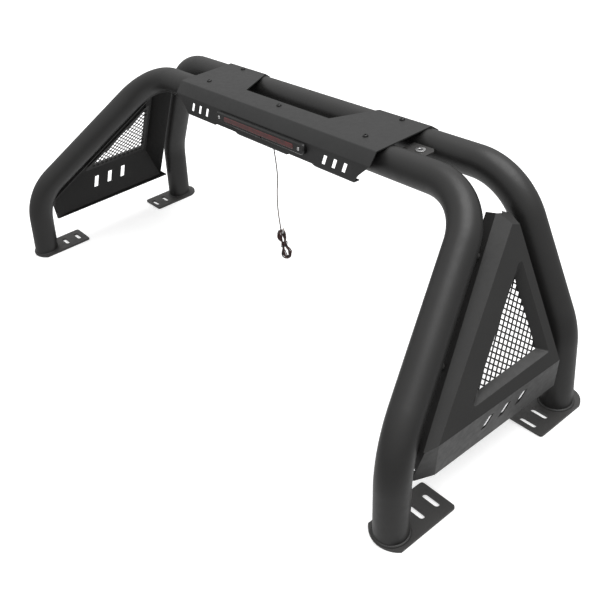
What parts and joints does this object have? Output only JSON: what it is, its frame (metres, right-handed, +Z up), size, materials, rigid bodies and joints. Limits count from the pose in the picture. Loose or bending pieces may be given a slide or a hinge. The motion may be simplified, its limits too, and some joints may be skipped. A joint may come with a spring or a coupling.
{
  "type": "headache rack",
  "caption": "Pickup headache rack of two bent tube hoops on foot plates, joined by a folded top cover with a brake light and mesh side panels.",
  "frame": {"origin": "middle of the outline, at the underside of the foot plates, without the hanging lead", "axes": "+X across the truck, +Y towards the cab, +Z up; the brake light and cover face look towards -Y, the tailgate"},
  "size_m": [1.78, 0.6588, 0.5747],
  "materials": {
    "frame_paint": "satin black powder coat, fine texture",
    "plate_paint": "satin black powder coat",
    "cover_paint": "satin black powder coat, fine texture",
    "panel_paint": "satin black powder coat",
    "black_steel": "black oxide",
    "zinc": "bright zinc plate",
    "black_plastic": "gloss moulded",
    "red_lens": "clear gloss red",
    "board": "solder mask",
    "rubber": "matte",
    "wire": "satin sheath",
    "tie_plastic": "matte",
    "white_nylon": "satin"
  },
  "bodies": {
    "root": {"rear_hoop": "frame_paint", "front_hoop": "frame_paint", "rear_foot_plate_left": "plate_paint", "rear_foot_plate_right": "plate_paint", "front_foot_plate_left": "plate_paint", "front_foot_plate_right": "plate_paint", "top_cover": "cover_paint", "cover_bolt_rear_left": "black_steel", "cover_insert_rear_left": "zinc", "cover_bolt_rear_middle": "black_steel", "cover_insert_rear_middle": "zinc", "cover_bolt_rear_right": "black_steel", "cover_insert_rear_right": "zinc", "cover_bolt_front_left": "black_steel", "cover_insert_front_left": "zinc", "cover_bolt_front_right": "black_steel", "cover_insert_front_right": "zinc", "bridge_plate_left": "plate_paint", "bridge_insert_left": "zinc", "side_panel_left": "panel_paint", "mesh_insert_left": "panel_paint", "panel_standoff_upper_left": "plate_paint", "panel_bolt_upper_left": "black_steel", "panel_standoff_lower_left": "plate_paint", "panel_bolt_lower_left": "black_steel", "bridge_plate_right": "plate_paint", "bridge_insert_right": "zinc", "side_panel_right": "panel_paint", "mesh_insert_right": "panel_paint", "panel_standoff_upper_right": "plate_paint", "panel_bolt_upper_right": "black_steel", "panel_standoff_lower_right": "plate_paint", "panel_bolt_lower_right": "black_steel", "light_gasket": "rubber", "light_housing": "black_plastic", "light_board": "board", "light_lens": "red_lens", "light_screw_left": "zinc", "light_screw_right": "zinc", "cable_gland": "rubber", "light_lead": "wire", "lead_hank": "wire", "lead_tie": "tie_plastic", "lead_end_sleeve": "white_nylon"}
  },
  "joints": []
}
